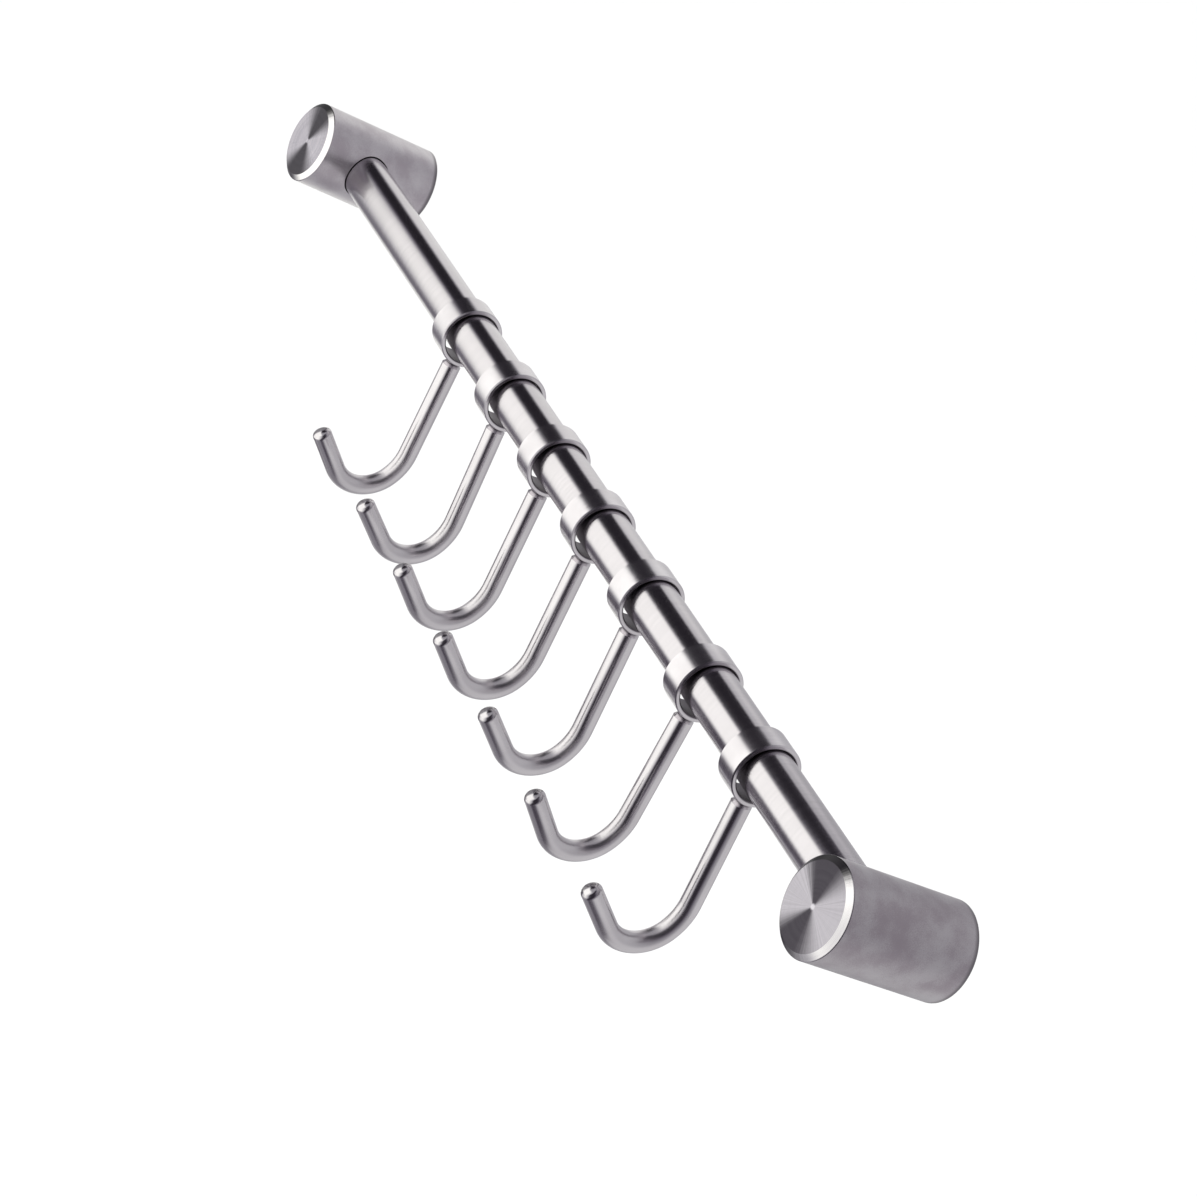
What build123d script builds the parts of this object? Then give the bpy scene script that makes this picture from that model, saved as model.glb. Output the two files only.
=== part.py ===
"""Wall coat rack: a round steel rail between two turned wall posts, with seven hooks that slide on it.

X runs along the rail, +Y points into the wall and Z is up. The backs of the posts lie on Y = 0,
and the origin is halfway between the two wall screws. All sizes are in millimetres.
"""
import os
from math import cos, radians, sin

from build123d import *

# Rail
fixing_centres = 450.0      # between the axes of the two posts
rail_standoff = 26.0        # from the wall to the tube's axis
tube_diameter = 16.0
tube_wall = 1.2
tube_end_chamfer = 0.4
tube_grip = 8.0             # how far the tube reaches past the axis of a post

# Wall posts
post_diameter = 29.0
post_length = 46.8
face_bevel_width = 1.8      # bevel round the turned front face
face_bevel_depth = 1.35
face_edge_round = 0.5       # where the bevel meets the side
back_edge_chamfer = 0.5
bore_clearance = 0.3        # all round the tube in its blind bore
bore_end_gap = 0.3          # behind the end of the tube

# Wall discs, hidden in the backs of the posts
socket_wall = 3.5           # of the post, round the disc
disc_thickness = 8.0
disc_clearance = 0.15       # all round the disc
socket_floor_gap = 0.3      # between the disc and the bottom of its socket
screw_hole_diameter = 5.2
countersink_diameter = 10.0
groove_depth = 1.5          # the V groove that the grub screw's point draws on

# Grub screws, from below
grub_diameter = 4.0
grub_clearance = 0.05       # on the radius, in the post's thread
grub_recess = 0.6           # below the side of the post
grub_point_gap = 0.1        # between the point and the bottom of the groove
grub_hex_across_flats = 2.0
grub_hex_depth = 1.6

# Hook rings
ring_clearance = 1.0        # all round the tube, when the ring is centred on it
ring_wall = 1.6
ring_length = 10.0
ring_edge_chamfer = 0.35
ring_seat_gap = 0.1         # left over the tube where the ring hangs on it

# Hook rods
rod_diameter = 6.5
shank_length = 37.2         # straight part, from the underside of the ring
ease_radius = 18.0          # of the rod's centre line, where the shank runs into the bend
ease_angle = 35.0
bend_radius = 12.5          # of the centre line round the bottom of the hook
bend_angle = 102.5
tip_length = 15.7           # straight part after the bend
tip_round = 1.2             # round the end of the tip
rod_top_chamfer = 0.9
neck_diameter = 4.2
neck_length = 1.1           # seen between the ring and the rod
ring_joint_gap = 0.05       # between the neck's saddle and the ring

# Where the hooks hang along the rail, and how far each leans towards the wall, in degrees
hook_places = (-101.0, -58.4, -17.6, 21.7, 62.2, 107.9, 150.1)
hook_leans = (7.3, 9.9, 8.5, 8.6, 9.5, 6.3, 9.6)

# Sizes that follow from those above
tube_radius = tube_diameter / 2
post_radius = post_diameter / 2
bore_radius = tube_radius + bore_clearance
bore_end = fixing_centres / 2 + tube_grip + bore_end_gap
face_radius = post_radius - face_bevel_width
socket_radius = post_radius - socket_wall
socket_depth = disc_thickness + socket_floor_gap
disc_radius = socket_radius - disc_clearance
groove_bottom = disc_radius - groove_depth
grub_height = disc_thickness / 2
ring_bore_radius = tube_radius + ring_clearance
ring_radius = ring_bore_radius + ring_wall
ring_drop = ring_clearance - ring_seat_gap
rod_radius = rod_diameter / 2

os.makedirs("parts", exist_ok=True)


def write_piece(piece, name):
    """Label a finished piece and write its STEP file."""
    piece.part.label = name
    export_step(piece.part, f"parts/{name}.step")


def make_tube():
    """The rail: a drawn tube whose ends sit in the posts."""
    length = fixing_centres + 2 * tube_grip
    with BuildPart() as tube:
        with BuildSketch(Plane.YZ.offset(-length / 2)):
            with Locations((-rail_standoff, 0)):
                Circle(tube_radius)
                Circle(tube_radius - tube_wall, mode=Mode.SUBTRACT)
        extrude(amount=length)
        ends = tube.faces().filter_by(Axis.X)
        outer_edges = [end.outer_wire().edges() for end in ends]
        chamfer(outer_edges, length=tube_end_chamfer)
    write_piece(tube, "rail_tube")


def make_post(side, name):
    """A turned post with a blind cross bore for the tube and a socket in its back for the wall disc.

    side is -1 for the left post and 1 for the right one.
    """
    centre = Plane(origin=(side * fixing_centres / 2, 0, 0))
    with BuildPart() as post:
        with BuildSketch(centre):
            with BuildLine():
                Polyline(
                    (0, -socket_depth),
                    (socket_radius, -socket_depth),
                    (socket_radius, 0),
                    (post_radius - back_edge_chamfer, 0),
                    (post_radius, -back_edge_chamfer),
                    (post_radius, face_bevel_depth - post_length),
                    (face_radius, -post_length),
                    (0, -post_length),
                    close=True,
                )
            make_face()
        revolve(axis=Axis(centre.origin, (0, 1, 0)))
        front_rims = post.edges().filter_by(GeomType.CIRCLE).group_by(Axis.Y)
        fillet(front_rims[1], radius=face_edge_round)
        with BuildSketch(Plane.YZ.offset(side * bore_end)):
            with Locations((-rail_standoff, 0)):
                Circle(bore_radius)
        extrude(amount=-side * (tube_grip + bore_end_gap + post_radius), mode=Mode.SUBTRACT)
        with BuildSketch(centre.offset(-post_radius)):
            with Locations((0, -grub_height)):
                Circle(grub_diameter / 2)
        extrude(amount=post_radius - groove_bottom, mode=Mode.SUBTRACT)
    write_piece(post, name)


def make_wall_disc(side, name):
    """The disc that is screwed to the wall: a countersunk hole, and a V groove round its edge."""
    centre = Plane(origin=(side * fixing_centres / 2, 0, 0))
    hole_radius = screw_hole_diameter / 2
    sink_radius = countersink_diameter / 2
    sink_depth = sink_radius - hole_radius
    with BuildPart() as disc:
        with BuildSketch(centre):
            with BuildLine():
                Polyline(
                    (hole_radius, 0),
                    (hole_radius, sink_depth - disc_thickness),
                    (sink_radius, -disc_thickness),
                    (disc_radius, -disc_thickness),
                    (disc_radius, -grub_height - groove_depth),
                    (groove_bottom, -grub_height),
                    (disc_radius, -grub_height + groove_depth),
                    (disc_radius, 0),
                    close=True,
                )
            make_face()
        revolve(axis=Axis(centre.origin, (0, 1, 0)))
    write_piece(disc, name)


def make_grub_screw(side, name):
    """A socket set screw whose cone point pulls the post on to the disc's groove."""
    post_x = side * fixing_centres / 2
    head_height = grub_recess - post_radius
    radius = grub_diameter / 2 - grub_clearance
    point = -groove_bottom - grub_point_gap
    with BuildPart() as grub:
        with BuildSketch(Plane(origin=(post_x, -grub_height, 0), x_dir=(1, 0, 0), z_dir=(0, -1, 0))):
            with BuildLine():
                Polyline(
                    (0, point),
                    (radius, point - radius),
                    (radius, head_height),
                    (0, head_height),
                    close=True,
                )
            make_face()
        revolve(axis=Axis((post_x, -grub_height, 0), (0, 0, 1)))
        with BuildSketch(Plane(origin=(post_x, -grub_height, head_height))):
            RegularPolygon(radius=grub_hex_across_flats / 2, side_count=6, major_radius=False)
        extrude(amount=grub_hex_depth, mode=Mode.SUBTRACT)
    write_piece(grub, name)


def make_ring(place, name):
    """A ring that hangs on the tube and slides along it."""
    with BuildPart() as ring:
        with BuildSketch(Plane.YZ.offset(place - ring_length / 2)):
            with Locations((-rail_standoff, -ring_drop)):
                Circle(ring_radius)
                Circle(ring_bore_radius, mode=Mode.SUBTRACT)
        extrude(amount=ring_length)
        chamfer(ring.edges().filter_by(GeomType.CIRCLE), length=ring_edge_chamfer)
    write_piece(ring, name)


def make_rod(place, lean, name):
    """A J-shaped hook rod, bent in the plane across the rail, with its neck saddled to the ring.

    In hook_plane the ring's centre is (0, 0), x points away from the wall and y back up the shank.
    """
    tilt = radians(lean)
    hook_plane = Plane(
        origin=(place, -rail_standoff, -ring_drop),
        x_dir=(0, -cos(tilt), -sin(tilt)),
        z_dir=(-1, 0, 0),
    )
    across_shank = Plane(hook_plane.origin, x_dir=hook_plane.x_dir, z_dir=-hook_plane.y_dir)
    rod_top = ring_radius + neck_length
    shank_end = ring_radius + shank_length
    with BuildPart() as rod:
        with BuildLine(hook_plane):
            shank = Line((0, -rod_top), (0, -shank_end))
            ease = JernArc(shank @ 1, shank % 1, ease_radius, ease_angle)
            bend = JernArc(ease @ 1, ease % 1, bend_radius, bend_angle)
            Line(bend @ 1, bend @ 1 + tip_length * (bend % 1))
        with BuildSketch(across_shank.offset(rod_top)):
            Circle(rod_radius)
        sweep()
        tip_end = rod.faces().filter_by(GeomType.PLANE).sort_by(Axis.Z)[0]
        fillet(tip_end.edges(), radius=tip_round)
        top_end = rod.faces().filter_by(GeomType.PLANE).sort_by(Axis.Z)[-1]
        chamfer(top_end.edges(), length=rod_top_chamfer)
        with BuildSketch(across_shank.offset(ring_bore_radius)):
            Circle(neck_diameter / 2)
        extrude(amount=rod_top - ring_bore_radius)
        with BuildSketch(Plane.YZ.offset(place - rod_diameter)):
            with Locations((-rail_standoff, -ring_drop)):
                Circle(ring_radius + ring_joint_gap)
        extrude(amount=2 * rod_diameter, mode=Mode.SUBTRACT)
    write_piece(rod, name)


make_tube()
for side, hand in ((-1, "left"), (1, "right")):
    make_post(side, f"{hand}_post")
    make_wall_disc(side, f"{hand}_wall_disc")
    make_grub_screw(side, f"{hand}_grub_screw")
for number, (place, lean) in enumerate(zip(hook_places, hook_leans), start=1):
    make_ring(place, f"hook_ring_{number}")
    make_rod(place, lean, f"hook_rod_{number}")
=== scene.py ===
"""Looks of the wall coat rack: ground and polished stainless steel in a plain white studio.

Metres, in the frame of the CAD model: X runs along the rail, +Y points into the wall and Z is up.
"""
from math import cos, pi, radians, sin

import bmesh
import bpy
from mathutils import Matrix, Vector


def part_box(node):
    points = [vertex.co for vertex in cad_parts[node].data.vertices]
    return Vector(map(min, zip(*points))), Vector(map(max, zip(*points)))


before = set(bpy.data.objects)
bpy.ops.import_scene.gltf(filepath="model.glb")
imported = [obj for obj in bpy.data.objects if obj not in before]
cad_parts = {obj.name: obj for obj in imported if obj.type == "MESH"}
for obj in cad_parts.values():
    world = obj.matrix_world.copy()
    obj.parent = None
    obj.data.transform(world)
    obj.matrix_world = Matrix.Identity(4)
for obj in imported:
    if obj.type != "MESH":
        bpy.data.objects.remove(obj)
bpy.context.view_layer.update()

HOOKS = range(1, 8)

# Camera, at the photograph's viewing angle
CAMERA_PLACE = (0.9094, -0.6603, 0.3349)
CAMERA_AZIMUTH = 53.8      # from straight in front of the rack towards its right end
CAMERA_DIP = 18.02         # below the horizon
CAMERA_ROLL = 33.85
CAMERA_LENS = 112.62       # on a 36 mm sensor

# Studio
FLOOR_DROP = 0.6           # below the rail
FLOOR_SIZE = 24.0
SHELL_RADIUS = 0.7         # of the soft panels round the rack
LAMP_PLACE = (0, -0.4, 1.2)
LAMP_SIZE = 0.8
LAMP_POWER = 6.0

# Brightness of the studio wall by azimuth, 0 straight in front of the rack and 90 beyond its right end
WALL = (
    (-180, 0.56), (-150, 0.5), (-105, 0.55), (-85, 0.5), (36, 0.5), (46, 0.05), (70, 0.05),
    (82, 0.19), (94, 0.35), (108, 0.48), (125, 0.58), (160, 0.58), (180, 0.56),
)
# Panels in front of the wall, each over the ones before it: azimuths, half the widths of their soft edges,
# elevations, half the widths of theirs, and brightness
PANELS = {
    "underside": ((-400, 400), (1, 1), (-95, -67), (1, 9), 0.3),
    "ceiling": ((-400, 400), (1, 1), (66, 95), (9, 1), 0.35),
    "foot of the right wall": ((108, 172), (8, 8), (-66, -12), (8, 10), 0.72),
    "foot of the back wall": ((-190, -135), (4, 12), (-70, -16), (8, 10), 0.5),
    "left sheet": ((-135, -97), (12, 6), (-44, -6), (8, 10), 1.0),
    "front sheet": ((-50, 45), (10, 10), (-66, -38), (5, 5), 0.45),
    "high front sheet": ((-32, 30), (9, 12), (12, 66), (8, 8), 0.4),
    "left strip light": ((-130, -98), (12, 4), (-1, 44), (8, 10), 0.92),
    "key softbox": ((-66, 24), (10, 19), (-44, 24), (9, 9), 1.42),
    "left flag": ((-93, -73), (5, 7), (-56, -20), (7, 9), 0.2),
    "left foot flag": ((-90, -42), (8, 13), (-58, -36), (7, 7), 0.09),
    "low black flag": ((-95, -70), (3, 8), (12, 64), (6, 9), 0.02),
    "black flag": ((-80, -33), (8, 9), (21, 64), (4.5, 9), 0.02),
    "dark room": ((41, 76), (8, 9), (-50, 56), (8, 10), 0.03),
    "low right flag": ((62, 106), (10, 8), (-72, -38), (6, 11), 0.08),
}
# Two sectors of painted shade on each post's turned front, where a turned face darkens in one light: their
# edges, by the angle round the face from its right side, and half the widths of their soft edges
FACE_SHADE_SECTORS = {
    "left": (((-115, -30), (20, 25)), ((55, 130), (20, 25))),
    "right": (((-125, -45), (15, 30)), ((70, 150), (25, 15))),
}
# Painted light level of each post's front outside its shaded sectors, higher on the left post
FACE_LIGHT = {"left": 0.95, "right": 0.7}
# A painted highlight and painted shade round the posts' bevels: their edges by the angle round the face, and
# half the widths of their soft edges
BEVEL_HIGHLIGHT_ARC = ((-65, 70), (20, 10))
BEVEL_SHADE_ARC = ((80, 150), (10, 10))
# Darkest and lightest of the posts' mottled sides; the mottle is the steel's own tone, and the left post's
# sides are lighter as painted light
SIDE_TONE_AND_LIGHT = {
    "left": ((0.51, 0.46, 0.51), (0.7, 0.665, 0.705)),
    "right": ((0.375, 0.325, 0.37), (0.53, 0.5, 0.535)),
}

# Hook rods: how far each leans, and the middle of the tip's end from the ring's axis
LEANS = (7.3, 9.9, 8.5, 8.6, 9.5, 6.3, 9.6)
TIP_REACH = 0.0333
TIP_DROP = 0.0478
TIP_TURN = 137.5           # of the tip from the shank, in degrees

# Where a finish starts and ends, in metres
RING_BORE = (0.0091, 0.0097)          # painted shade and rougher steel inside, by radius
UNDER_RING_REACH = (0.0117, 0.0124)               # painted shade and rougher steel on the rod's top up to the ring, by distance from the ring's axis
ROD_BEND = (0.042, 0.054)             # rougher past here, by distance from the ring's axis
TIP_POLISH = (-0.016, -0.008)         # smooth again towards the tip's end
TIP_DOME = (0.002, 0.0032)            # rounded look up to the rod's side, by radius
TIP_DOME_BACK = (-0.002, -0.0015)     # and only at the end
FACE_CENTRE_HIGHLIGHT = (0.0003, 0.0012)        # small painted highlight in the middle of a post's face, by radius
POST_BACK_RIM = (0.0212, 0.0226)      # painted shade at the back edge, from the middle of the post towards the wall

# Steel, as linear colours
STEEL = (0.655, 0.622, 0.655)
DARK_STEEL = (0.60, 0.57, 0.60)
RING_STEEL = (0.74, 0.71, 0.745)
# Steel in painted shade: inside the rings' bores, on the rods' tops under the rings and at the posts' back
# edges
PAINTED_SHADE_STEEL = (0.17, 0.155, 0.175)
ROD_STEEL = ((0.65, 0.62, 0.65), (0.70, 0.67, 0.70))
# Painted shade and painted light of the posts' turned fronts
FACE_SHADE_TO_LIGHT = ((0.008, 0.004, 0.012), (0.575, 0.545, 0.605))
# Painted shade and painted highlight of the posts' bevels
BEVEL_SHADE_TO_HIGHLIGHT = ((0.02, 0.018, 0.022), (0.8, 0.77, 0.8))


class Socket:
    """A shader output that takes part in Python expressions, each operator adding its node."""

    def __init__(self, finish, output):
        self.finish = finish
        self.output = output

    def __add__(self, other):
        return self.finish.maths("ADD", self, other)

    def __radd__(self, other):
        return self.finish.maths("ADD", other, self)

    def __sub__(self, other):
        return self.finish.maths("SUBTRACT", self, other)

    def __rsub__(self, other):
        return self.finish.maths("SUBTRACT", other, self)

    def __mul__(self, other):
        return self.finish.maths("MULTIPLY", self, other)

    def __rmul__(self, other):
        return self.finish.maths("MULTIPLY", other, self)

    def __truediv__(self, other):
        return self.finish.maths("DIVIDE", self, other)

    def __rtruediv__(self, other):
        return self.finish.maths("DIVIDE", other, self)


class Finish:
    """A material's or the world's node tree, written as Python expressions."""

    def __init__(self, owner):
        owner.use_nodes = True
        self.owner = owner
        self.tree = owner.node_tree
        self.tree.nodes.clear()

    def node(self, kind, settings=None, sockets=None, output=0):
        """Adds a node, sets its settings and then its sockets, and returns one of its outputs."""
        made = self.tree.nodes.new(kind)
        for name, value in (settings or {}).items():
            if name == "stops":
                self.set_stops(made.color_ramp, value)
            else:
                setattr(made, name, value)
        for name, value in (sockets or {}).items():
            if isinstance(value, Socket):
                self.tree.links.new(value.output, made.inputs[name])
            else:
                made.inputs[name].default_value = value
        return Socket(self, made.outputs[output]) if made.outputs else made

    @staticmethod
    def set_stops(ramp, stops):
        """Gives a colour ramp its stops, each a place and a grey level or a colour."""
        while len(ramp.elements) < len(stops):
            ramp.elements.new(0.5)
        for element, (place, colour) in zip(ramp.elements, stops):
            element.position = place
            element.color = (*colour, 1) if hasattr(colour, "__len__") else (colour, colour, colour, 1)

    def maths(self, operation, *values):
        """A Math node, or a Vector Math node where the first value is a vector."""
        vector = any(isinstance(v, Socket) and v.output.type == "VECTOR" for v in values)
        kind = "ShaderNodeVectorMath" if vector else "ShaderNodeMath"
        return self.node(kind, {"operation": operation}, dict(enumerate(values)))

    def scaled(self, vector, factor):
        """A vector times a number."""
        return self.node("ShaderNodeVectorMath", {"operation": "SCALE"}, {"Vector": vector, "Scale": factor})

    def dot(self, first, second):
        """The dot product of two vectors."""
        return self.node("ShaderNodeVectorMath", {"operation": "DOT_PRODUCT"}, {0: first, 1: second}, "Value")

    def unit(self, vector):
        """The vector at length one."""
        return self.node("ShaderNodeVectorMath", {"operation": "NORMALIZE"}, {0: vector})

    def length(self, vector):
        """The length of a vector."""
        return self.node("ShaderNodeVectorMath", {"operation": "LENGTH"}, {0: vector}, "Value")

    def combined(self, x, y, z):
        """A vector from three numbers."""
        return self.node("ShaderNodeCombineXYZ", sockets={"X": x, "Y": y, "Z": z})

    def noise(self, place, scale, detail=2.0, roughness=0.5):
        """Soft noise from 0 to 1, with its mean at a half."""
        sockets = {"Vector": place, "Scale": scale, "Detail": detail, "Roughness": roughness}
        return self.node("ShaderNodeTexNoise", {"noise_dimensions": "3D"}, sockets)

    def ramp(self, value, low, high, out_low, out_high):
        """The value carried smoothly from low..high to out_low..out_high."""
        sockets = {"Value": value, "From Min": low, "From Max": high, "To Min": out_low, "To Max": out_high}
        return self.node("ShaderNodeMapRange", {"interpolation_type": "SMOOTHSTEP"}, sockets)

    def tinted(self, shade, low, high):
        """A colour between two, by a shade from 0 to 1."""
        sockets = {"Factor": shade}
        for socket, colour in ((6, low), (7, high)):
            sockets[socket] = colour if isinstance(colour, Socket) else (*colour, 1)
        return self.node("ShaderNodeMix", {"data_type": "RGBA"}, sockets, 2)

    def blend(self, share, low, high):
        """A number between two, by a share from 0 to 1."""
        return low + share * (high - low)

    def grey_stops(self, turn, lights):
        """A brightness by a turn from 0 to 1, from stops that are each an angle from -180 and a level."""
        stops = [((angle + 180) / 360, light) for angle, light in lights]
        colour = self.node("ShaderNodeValToRGB", {"stops": stops}, {"Fac": turn})
        return self.node("ShaderNodeRGBToBW", sockets={"Color": colour})

    def window(self, angle, ends, softness):
        """1 between two angles and 0 outside them, with soft edges."""
        opening = self.ramp(angle, ends[0] - softness[0], ends[0] + softness[0], 0.0, 1.0)
        return opening * self.ramp(angle, ends[1] - softness[1], ends[1] + softness[1], 1.0, 0.0)

    def turning(self, centre, axis):
        """Where a point is on a turned piece: its arm out from the axis, its radius and its height."""
        place = self.node("ShaderNodeTexCoord", output="Object")
        arm = place - Vector(centre)
        height = self.dot(arm, axis)
        out = arm - self.scaled(self.combined(*axis), height)
        return place, out, self.length(out), height

    def grooved(self, out, axis, slope):
        """The surface's normal, tilted by a slope along the turned profile."""
        normal = self.node("ShaderNodeTexCoord", output="Normal")
        round_about = self.node("ShaderNodeVectorMath", {"operation": "CROSS_PRODUCT"}, {0: axis, 1: out})
        along = self.node("ShaderNodeVectorMath", {"operation": "CROSS_PRODUCT"}, {0: normal, 1: round_about})
        tilted = self.unit(normal + self.scaled(self.unit(along), slope))
        settings = {"vector_type": "NORMAL", "convert_from": "OBJECT", "convert_to": "WORLD"}
        return self.unit(self.node("ShaderNodeVectorTransform", settings, {"Vector": tilted}))

    def steel(self, colour, roughness, normal, lacquer=0.0, lacquer_roughness=0.03):
        """A metal surface, bare or with a clear lacquer on it."""
        sockets = {"Base Color": colour, "Metallic": 1.0, "Roughness": roughness, "Normal": normal}
        sockets.update({"Coat Weight": lacquer, "Coat Roughness": lacquer_roughness})
        return self.surface(self.node("ShaderNodeBsdfPrincipled", sockets=sockets))

    def surface(self, shader):
        """Links a shader to the material's output."""
        self.node("ShaderNodeOutputMaterial", sockets={"Surface": shader})
        return self.owner


def turned_steel(name, centre, axis, groove_tilt, roughness, low=DARK_STEEL, high=STEEL):
    """Steel ground round an axis: fine rings tilt the surface along its profile, so lights smear across them.

    groove_tilt is the slope of the rings' flanks. The axis is a unit vector through centre.
    """
    finish = Finish(bpy.data.materials.new(name))
    place, out, radius, height = finish.turning(centre, axis)
    profile = finish.combined(radius, height, 0.0)
    rings = finish.noise(profile, 9000.0, detail=1.0)
    bands = finish.noise(profile, 900.0, detail=3.0)
    cloud = finish.noise(place, 60.0, detail=3.0)
    shade = finish.ramp(bands * 0.5 + cloud * 0.5, 0.3, 0.7, 0.0, 1.0)
    normal = finish.grooved(out, axis, (rings - 0.5) * groove_tilt * 4.0)
    return finish.steel(finish.tinted(shade, low, high), roughness + (bands - 0.5) * 0.06, normal)


def ring_steel():
    """Polished rings with fine turning marks, rougher inside the bore and with painted shade there."""
    finish = Finish(bpy.data.materials.new("polished ring steel"))
    axis = (1, 0, 0)
    place, out, radius, height = finish.turning(middle("hook_ring_1"), axis)
    profile = finish.combined(radius, height, 0.0)
    marks = finish.noise(profile, 7000.0, detail=1.0)
    cloud = finish.noise(place, 90.0, detail=3.0)
    bore = finish.ramp(radius, *RING_BORE, 1.0, 0.0)
    outside = finish.tinted(finish.ramp(cloud, 0.3, 0.7, 0.0, 1.0), STEEL, RING_STEEL)
    # Painted shade inside the bore
    colour = finish.tinted(bore, outside, PAINTED_SHADE_STEEL)
    roughness = finish.blend(bore, 0.21 + (cloud - 0.5) * 0.05, 0.4)
    return finish.steel(colour, roughness, finish.grooved(out, axis, (marks - 0.5) * 0.2))


def rod_steel(number, lean):
    """A satin rod, rougher round its bend, with a domed look to its tip, and rougher steel with painted shade
    on its top under the ring.
    """
    finish = Finish(bpy.data.materials.new(f"satin rod steel {number}"))
    ring_middle = middle(f"hook_ring_{number}")
    swung = Matrix.Rotation(radians(lean), 3, "X")
    tip = ring_middle + swung @ Vector((0, -TIP_REACH, -TIP_DROP))
    tip_way = swung @ Vector((0, -sin(radians(TIP_TURN)), -cos(radians(TIP_TURN))))
    place, out, radius, height = finish.turning(tip, tip_way)
    dome = finish.ramp(radius, *TIP_DOME, 1.0, 0.0) * finish.ramp(height, *TIP_DOME_BACK, 0.0, 1.0)
    cloud = finish.noise(place, 70.0, detail=3.0)
    grain = finish.noise(place, 1800.0, detail=2.0)
    from_ring = finish.turning(ring_middle, (1, 0, 0))[2]
    under_ring = finish.ramp(from_ring, *UNDER_RING_REACH, 1.0, 0.0)
    bright = finish.tinted(finish.ramp(cloud, 0.3, 0.7, 0.0, 1.0), *ROD_STEEL)
    # Painted shade on the rod's top where it meets the ring
    colour = finish.tinted(under_ring * 0.9, bright, PAINTED_SHADE_STEEL)
    bent = finish.ramp(from_ring, *ROD_BEND, 0.0, 1.0) * finish.ramp(height, *TIP_POLISH, 1.0, 0.0)
    worn = 0.2 + bent * 0.09 + (cloud - 0.5) * 0.04 + (grain - 0.5) * 0.02
    roughness = finish.blend(under_ring, worn, 0.3)
    return finish.steel(colour, roughness, finish.grooved(out, -tip_way, dome * radius * 370.0))


def post_steel(hand):
    """A post turned on the lathe: blasted side, lighter on the left post as painted light; polished bevel
    with a painted highlight and painted shade; a turned front with two sectors of painted shade and a painted
    highlight in its middle; painted shade at its back edge.
    """
    finish = Finish(bpy.data.materials.new(f"{hand} post steel"))
    axis = (0, 1, 0)
    place, out, radius, height = finish.turning(middle(f"{hand}_post"), axis)
    facing = finish.dot(finish.node("ShaderNodeTexCoord", output="Normal"), (0, -1, 0))
    face = finish.ramp(facing, 0.93, 0.99, 0.0, 1.0)
    bevel = finish.window(facing, (0.3, 0.96), (0.15, 0.03))

    profile = finish.combined(radius, height, 0.0)
    rings = finish.noise(profile, 7000.0, detail=1.0)
    bands = finish.noise(profile, 1400.0, detail=3.0)
    blast = finish.noise(place, 3500.0, detail=2.0)
    cloud = finish.noise(place, 120.0, detail=3.0)

    x, z = (finish.node("ShaderNodeSeparateXYZ", sockets={"Vector": out}, output=side) for side in "XZ")
    flutter = finish.noise(finish.unit(out), 22.0, detail=4.0, roughness=0.6) - 0.5
    turn = finish.maths("ARCTAN2", z, x) / (2 * pi) + 0.5 + flutter * 0.05
    angle = (finish.maths("FRACT", turn) - 0.5) * 360.0
    # Two sectors of painted shade on a painted light level across the front, with streaks
    first, second = (finish.window(angle, *sector) for sector in FACE_SHADE_SECTORS[hand])
    painted_fan = finish.blend(first + second, FACE_LIGHT[hand] + flutter * 0.35, 0.08)
    # A small painted highlight in the middle of the front
    painted_fan = finish.blend(finish.ramp(radius, *FACE_CENTRE_HIGHLIGHT, 0.0, 1.0), 1.1, painted_fan) + (bands - 0.5) * 0.05
    # Painted highlight round part of the bevel and painted shade round another part
    painted_bevel_light = finish.blend(finish.window(angle, *BEVEL_HIGHLIGHT_ARC), 0.3, 1.0)
    painted_bevel_light = painted_bevel_light * (1.0 - finish.window(angle, *BEVEL_SHADE_ARC))
    painted_face = finish.tinted(painted_fan, *FACE_SHADE_TO_LIGHT)
    # Bevel colour from painted shade to painted highlight
    polished = finish.tinted(painted_bevel_light, *BEVEL_SHADE_TO_HIGHLIGHT)
    mottle = finish.ramp(cloud * 0.6 + blast * 0.4, 0.36, 0.64, 0.0, 1.0)
    # Mottled steel tone, lighter on the left post as painted light
    side = finish.tinted(mottle, *SIDE_TONE_AND_LIGHT[hand])
    # Painted shade at the post's back edge, towards the wall
    back_rim_shade = finish.ramp(height, *POST_BACK_RIM, 0.0, 0.9)
    side = finish.tinted(back_rim_shade, side, PAINTED_SHADE_STEEL)
    colour = finish.tinted(face, finish.tinted(bevel, side, polished), painted_face)

    roughness = finish.blend(face, finish.blend(bevel, 0.42 + (blast - 0.5) * 0.1, 0.15), 0.27)
    slope = (rings - 0.5) * finish.blend(face, 0.12, 0.6) - bevel * 0.2
    lacquer = (1.0 - face) * (1.0 - bevel)
    return finish.steel(colour, roughness, finish.grooved(out, axis, slope), lacquer, 0.35)


def middle(node):
    """The middle of a CAD node's box."""
    low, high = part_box(node)
    return (low + high) / 2


def dress(node, material):
    """Gives a CAD node its material."""
    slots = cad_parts[node].data.materials
    slots.clear()
    slots.append(material)


def dress_rack():
    """Every node's finish."""
    x_axis, y_axis, z_axis = (1, 0, 0), (0, 1, 0), (0, 0, 1)
    dress("rail_tube", turned_steel("ground rail steel", middle("rail_tube"), x_axis, 0.06, 0.18))
    ring_finish = ring_steel()
    for number, lean in zip(HOOKS, LEANS):
        dress(f"hook_ring_{number}", ring_finish)
        dress(f"hook_rod_{number}", rod_steel(number, lean))
    for hand in ("left", "right"):
        disc, grub = f"{hand}_wall_disc", f"{hand}_grub_screw"
        dress(f"{hand}_post", post_steel(hand))
        dress(disc, turned_steel(f"{hand} disc steel", middle(disc), y_axis, 0.2, 0.35))
        dress(grub, turned_steel(f"{hand} screw steel", middle(grub), z_axis, 0.1, 0.35))


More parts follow.
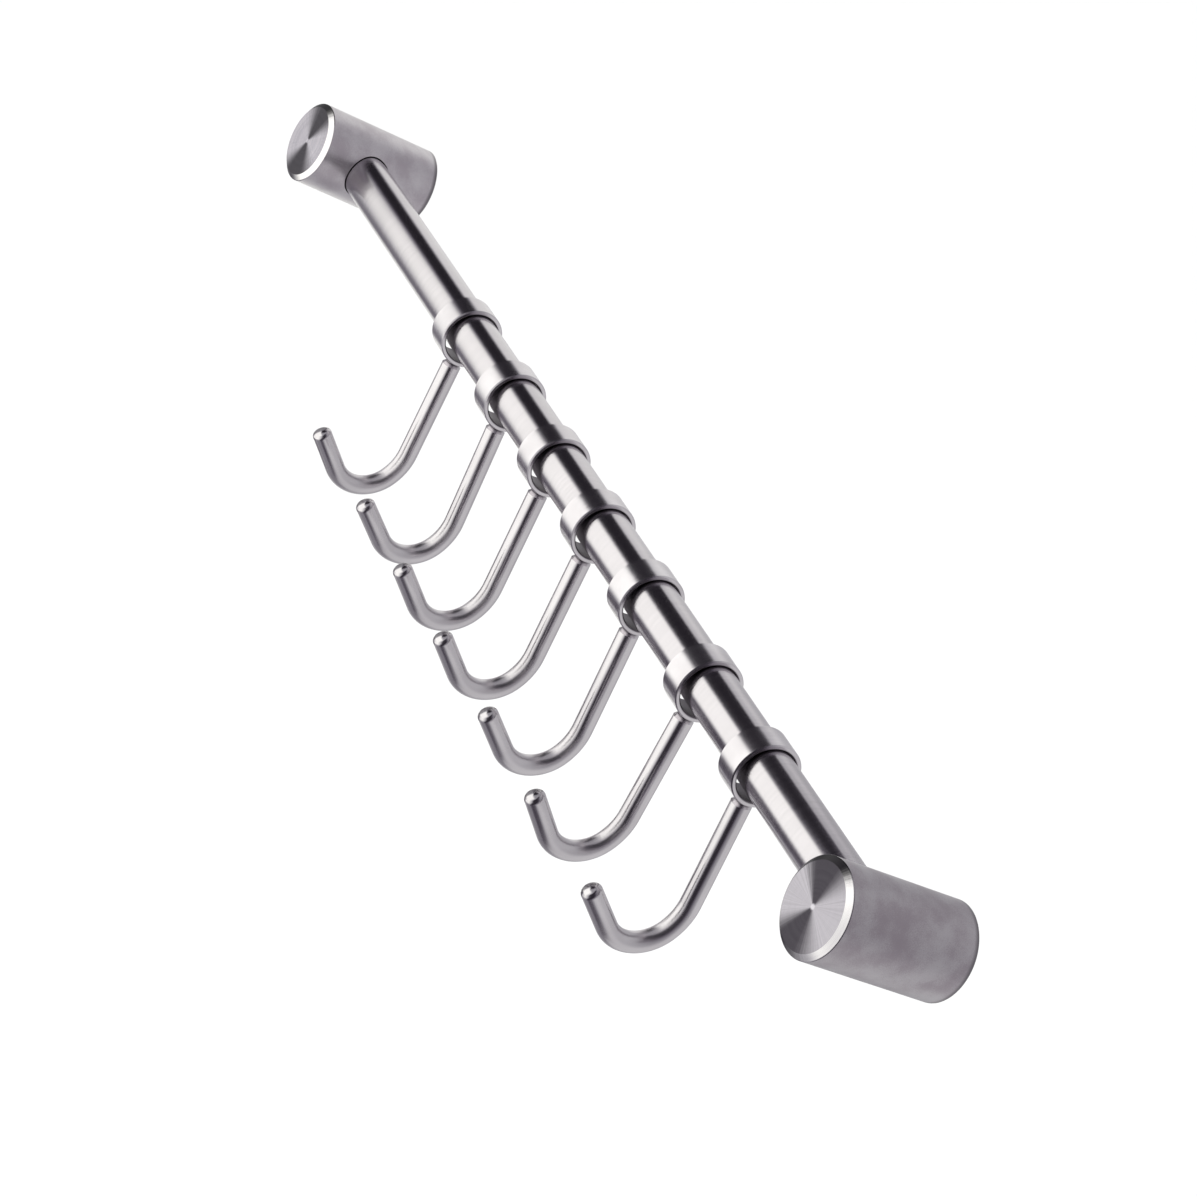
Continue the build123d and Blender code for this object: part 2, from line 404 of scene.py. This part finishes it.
def stage_object(name, mesh, material):
    """Puts a piece of the studio in the scene."""
    made = bpy.data.objects.new(name, mesh)
    bpy.context.scene.collection.objects.link(made)
    mesh.materials.append(material)
    return made


def build_shell():
    """The soft panels round the rack, which only the steel mirrors, on one round shell."""
    mesh = bpy.data.meshes.new("studio shell")
    shell = bmesh.new()
    bmesh.ops.create_icosphere(shell, subdivisions=5, radius=SHELL_RADIUS)
    shell.to_mesh(mesh)
    shell.free()
    finish = Finish(bpy.data.materials.new("studio panels"))
    place = finish.unit(finish.node("ShaderNodeTexCoord", output="Object"))
    x, y, z = (finish.node("ShaderNodeSeparateXYZ", sockets={"Vector": place}, output=axis) for axis in "XYZ")
    azimuth = finish.maths("ARCTAN2", x, y * -1.0) * (180 / pi)
    elevation = finish.maths("ARCSINE", z) * (180 / pi)
    level = finish.grey_stops((azimuth + 180.0) / 360.0, WALL)
    for azimuths, sides, elevations, ends, brightness in PANELS.values():
        cover = finish.window(azimuth, azimuths, sides) * finish.window(elevation, elevations, ends)
        level = finish.blend(cover, level, brightness)
    tints = [(0.0, (1, 0.86, 1.14)), (0.175, (1, 0.99, 1.04)), (0.55, (1, 1.01, 0.955))]
    tint = finish.node("ShaderNodeValToRGB", {"stops": tints}, {"Fac": level / 2.0})
    glow = finish.node("ShaderNodeEmission", sockets={"Color": tint, "Strength": level})
    made = stage_object("studio shell", mesh, finish.surface(glow))
    made.visible_camera = False
    made.visible_diffuse = False
    made.visible_shadow = False
    made.visible_transmission = False


def build_studio():
    """White surroundings and floor, the shell of panels and a lamp from above."""
    world = bpy.data.worlds.new("white studio")
    bpy.context.scene.world = world
    surroundings = Finish(world)
    white = surroundings.node("ShaderNodeBackground", sockets={"Color": (1, 1, 1, 1), "Strength": 1.0})
    surroundings.node("ShaderNodeOutputWorld", sockets={"Surface": white})

    mesh = bpy.data.meshes.new("floor")
    sheet = bmesh.new()
    bmesh.ops.create_grid(sheet, x_segments=1, y_segments=1, size=FLOOR_SIZE / 2)
    bmesh.ops.translate(sheet, vec=(0, 0, -FLOOR_DROP), verts=sheet.verts)
    sheet.to_mesh(mesh)
    sheet.free()
    paper = Finish(bpy.data.materials.new("white floor paper"))
    sockets = {"Base Color": (0.9, 0.9, 0.9, 1), "Roughness": 0.9, "Emission Color": (1, 1, 1, 1),
               "Emission Strength": 0.1}
    paper_finish = paper.surface(paper.node("ShaderNodeBsdfPrincipled", sockets=sockets))
    floor = stage_object("floor", mesh, paper_finish)
    floor.visible_glossy = False

    build_shell()

    lamp = bpy.data.lights.new("overhead softbox", "AREA")
    lamp.shape = "DISK"
    lamp.size = LAMP_SIZE
    lamp.energy = LAMP_POWER
    overhead = bpy.data.objects.new("overhead softbox", lamp)
    overhead.location = LAMP_PLACE
    overhead.rotation_euler = Vector(LAMP_PLACE).to_track_quat("Z", "Y").to_euler()
    overhead.visible_camera = False
    overhead.visible_glossy = False
    bpy.context.scene.collection.objects.link(overhead)


def place_camera():
    """The camera, turned by azimuth and dip and then rolled about its own line of sight."""
    camera = bpy.data.objects.new("camera", bpy.data.cameras.new("camera"))
    camera.data.sensor_width = 36.0
    camera.data.lens = CAMERA_LENS
    camera.location = CAMERA_PLACE
    turned = Matrix.Rotation(radians(CAMERA_AZIMUTH), 4, "Z")
    dipped = Matrix.Rotation(radians(90 - CAMERA_DIP), 4, "X")
    rolled = Matrix.Rotation(radians(CAMERA_ROLL), 4, "Z")
    camera.matrix_world = Matrix.Translation(CAMERA_PLACE) @ turned @ dipped @ rolled
    bpy.context.scene.collection.objects.link(camera)
    bpy.context.scene.camera = camera


dress_rack()
build_studio()
place_camera()
bpy.context.scene.view_settings.view_transform = "Standard"
